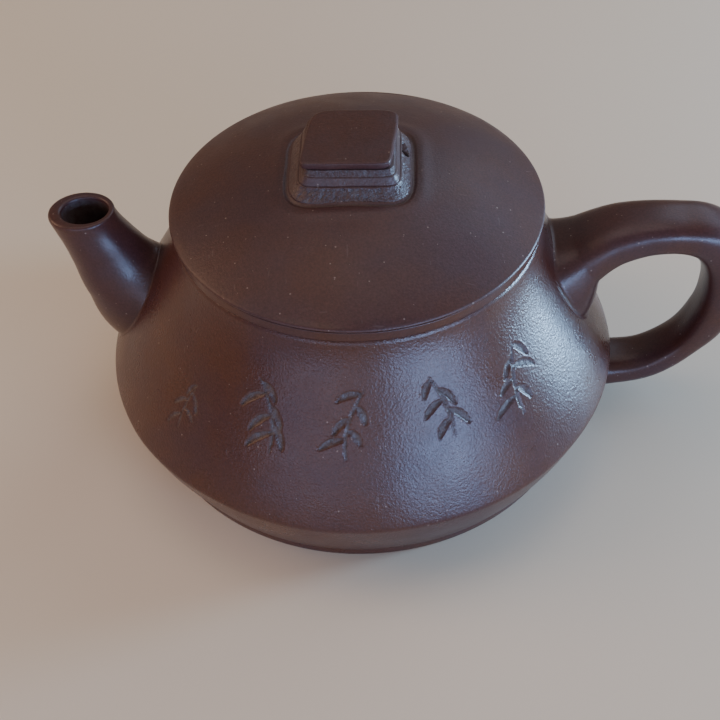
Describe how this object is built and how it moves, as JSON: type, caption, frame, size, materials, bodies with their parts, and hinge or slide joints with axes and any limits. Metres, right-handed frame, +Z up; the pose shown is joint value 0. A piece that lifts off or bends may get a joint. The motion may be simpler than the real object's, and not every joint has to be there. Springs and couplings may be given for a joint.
{
  "type": "clay teapot",
  "caption": "Low round unglazed clay teapot with a soft ridge round its body, a short upright spout, a loop handle and a broad lid with a small stepped square knob.",
  "frame": {"origin": "on the table under the middle of the whole object; the pot's round axis is 9.58 mm from it towards the spout", "axes": "+Z up, -X towards the spout, +X towards the handle, spout and handle both in the XZ plane"},
  "size_m": [0.147, 0.1106, 0.0707],
  "materials": {
    "clay_body": "burnished unglazed purple-brown clay, waxy low sheen, fine grain",
    "clay_lid": "burnished unglazed purple-brown clay, slightly greyer and more polished",
    "clay_rough": "chiselled unglazed clay, matte and open-grained",
    "clay_inner": "raw unglazed clay, matte, wiped smooth by hand"
  },
  "bodies": {
    "pot": {"foot_ring": "clay_body", "base_disc": "clay_body", "lower_wall": "clay_body", "upper_wall": "clay_body", "mouth_rim": "clay_body", "spout": "clay_body", "strainer": "clay_inner", "handle": "clay_body"},
    "lid": {"lid_disc": "clay_lid", "lid_flange": "clay_inner", "knob_plinth": "clay_rough", "knob_waist": "clay_rough", "knob_cap": "clay_lid"}
  },
  "joints": [
    {"name": "lid_lift", "type": "slide", "parent": "pot", "child": "lid", "axis": [0, 0, 1], "range_m": [0, 0.05]}
  ]
}
